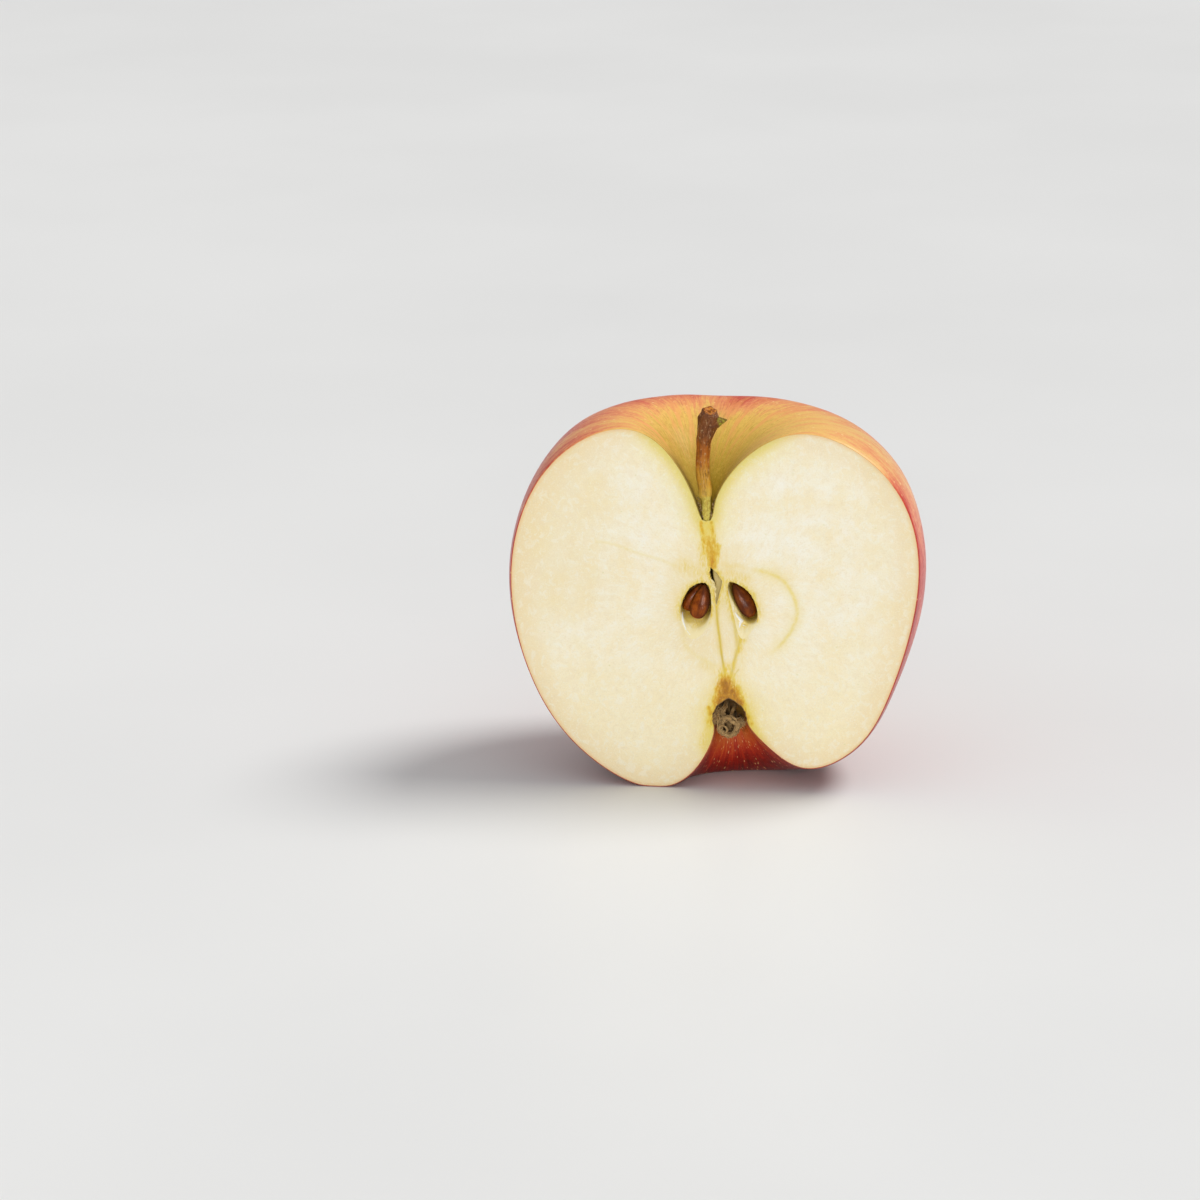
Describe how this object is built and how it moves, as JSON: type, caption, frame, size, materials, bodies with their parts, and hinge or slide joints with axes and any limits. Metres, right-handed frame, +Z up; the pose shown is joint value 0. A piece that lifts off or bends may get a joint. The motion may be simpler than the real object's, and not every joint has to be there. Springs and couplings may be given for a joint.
{
  "type": "apple half",
  "caption": "Fresh apple half standing on its eye end: striped red skin, cream cut face with core, brown seeds, a woody stalk in its pit and a dried calyx.",
  "frame": {"origin": "centre of the bounding box in X and Y, at the resting plane", "axes": "+X across the cut face to its right as seen from the front, -Y out of the cut face, +Z up towards the stalk; the face leans back 5 degrees"},
  "size_m": [0.083, 0.0452, 0.0757],
  "materials": {
    "body": "moist cream flesh on the cut face, satin skin striped red over yellow outside",
    "stem": "rough brown bark, paler and greener at its foot",
    "seed": "smooth glossy brown seed coat",
    "calyx": "dry, dull, fibrous"
  },
  "bodies": {
    "root": {"body": "body", "stem": "stem", "seed_left_back": "seed", "seed_left_front": "seed", "seed_right": "seed", "calyx": "calyx"}
  },
  "joints": []
}
